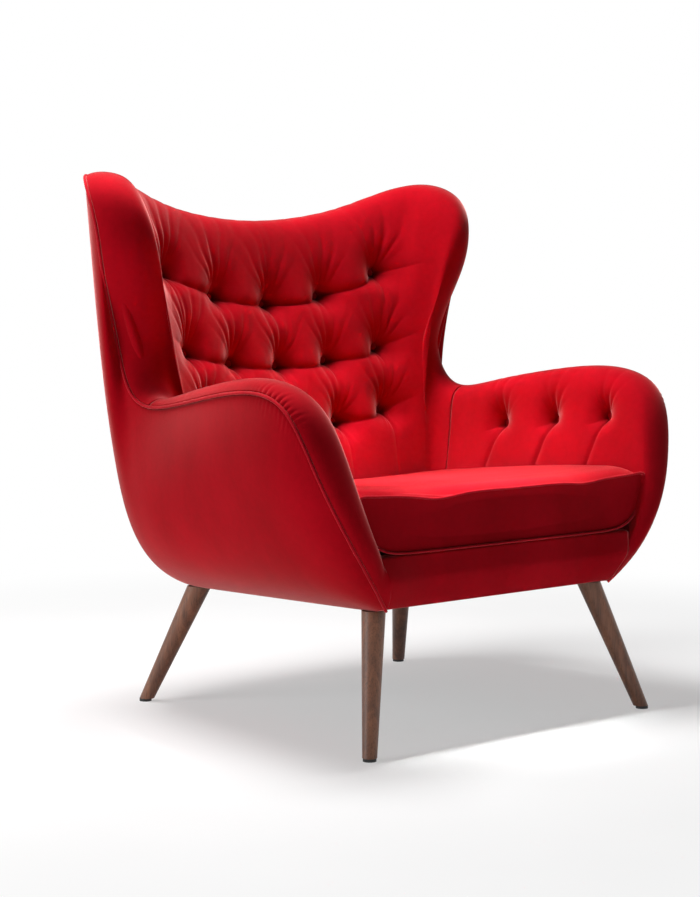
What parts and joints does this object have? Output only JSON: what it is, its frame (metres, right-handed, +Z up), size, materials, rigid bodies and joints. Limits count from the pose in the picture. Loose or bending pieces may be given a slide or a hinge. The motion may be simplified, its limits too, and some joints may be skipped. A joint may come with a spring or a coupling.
{
  "type": "wingback lounge armchair",
  "caption": "Low wingback lounge armchair with a deep-buttoned velvet back and arms, a loose piped seat cushion and splayed tapered wooden legs.",
  "frame": {"origin": "on the floor, under the middle of the chair's overall width and depth", "axes": "+Z up, -Y is the way the seat faces, +X is the right half of the chair in the tables of the source"},
  "size_m": [0.9346, 0.8042, 0.9961],
  "materials": {
    "walnut": "satin oiled walnut",
    "beech": "raw planed beech",
    "velvet": "short pile velvet",
    "welt_velvet": "velvet over cord",
    "button_velvet": "velvet over a button",
    "foam": "open cell upholstery foam",
    "lining_cloth": "black spunbonded lining",
    "jute_webbing": "woven jute",
    "zip_cloth": "woven zip tape",
    "zip_metal": "satin nickel",
    "zinc_steel": "zinc plated",
    "spring_steel": "oiled spring wire",
    "glide_nylon": "matte black"
  },
  "bodies": {
    "chair": {"apron_cover": "velvet", "apron_foam": "foam", "arm_buttons_left": "button_velvet", "arm_buttons_right": "button_velvet", "arm_post_left": "beech", "arm_post_right": "beech", "arm_rail_left": "beech", "arm_rail_right": "beech", "back_buttons": "button_velvet", "back_post_left": "beech", "back_post_right": "beech", "back_rail": "beech", "back_webbing": "jute_webbing", "corner_block_back_left": "beech", "corner_block_back_right": "beech", "corner_block_front_left": "beech", "corner_block_front_right": "beech", "crest_rail": "beech", "dust_cover": "lining_cloth", "edge_welt": "welt_velvet", "front_rail": "beech", "glide_back_left": "glide_nylon", "glide_back_right": "glide_nylon", "glide_front_left": "glide_nylon", "glide_front_right": "glide_nylon", "hanger_bolts": "zinc_steel", "inside_arm_cover_left": "velvet", "inside_arm_cover_right": "velvet", "inside_arm_foam_left": "foam", "inside_arm_foam_right": "foam", "inside_back_cover": "velvet", "inside_back_foam": "foam", "leg_back_left": "walnut", "leg_back_right": "walnut", "leg_front_left": "walnut", "leg_front_right": "walnut", "leg_plate_back_left": "zinc_steel", "leg_plate_back_right": "zinc_steel", "leg_plate_front_left": "zinc_steel", "leg_plate_front_right": "zinc_steel", "lower_back_rail": "beech", "outside_arm_cover_left": "velvet", "outside_arm_cover_right": "velvet", "outside_back_cover": "velvet", "plate_screws": "zinc_steel", "seat_deck": "lining_cloth", "seat_springs": "spring_steel", "side_rail_left": "beech", "side_rail_right": "beech", "spring_clips": "spring_steel", "wing_post_left": "beech", "wing_post_right": "beech"},
    "cushion": {"cushion_core": "foam", "cushion_cover": "velvet", "cushion_piping": "welt_velvet", "zip_tape": "zip_cloth"},
    "slider": {"zip_slider": "zip_metal"}
  },
  "joints": [
    {"name": "cushion_lift", "type": "slide", "parent": "chair", "child": "cushion", "axis": [0, 0, 1], "range_m": [0, 0.3]},
    {"name": "zip_run", "type": "slide", "parent": "cushion", "child": "slider", "axis": [1, 0, 0], "range_m": [-0.18, 0.19]}
  ]
}
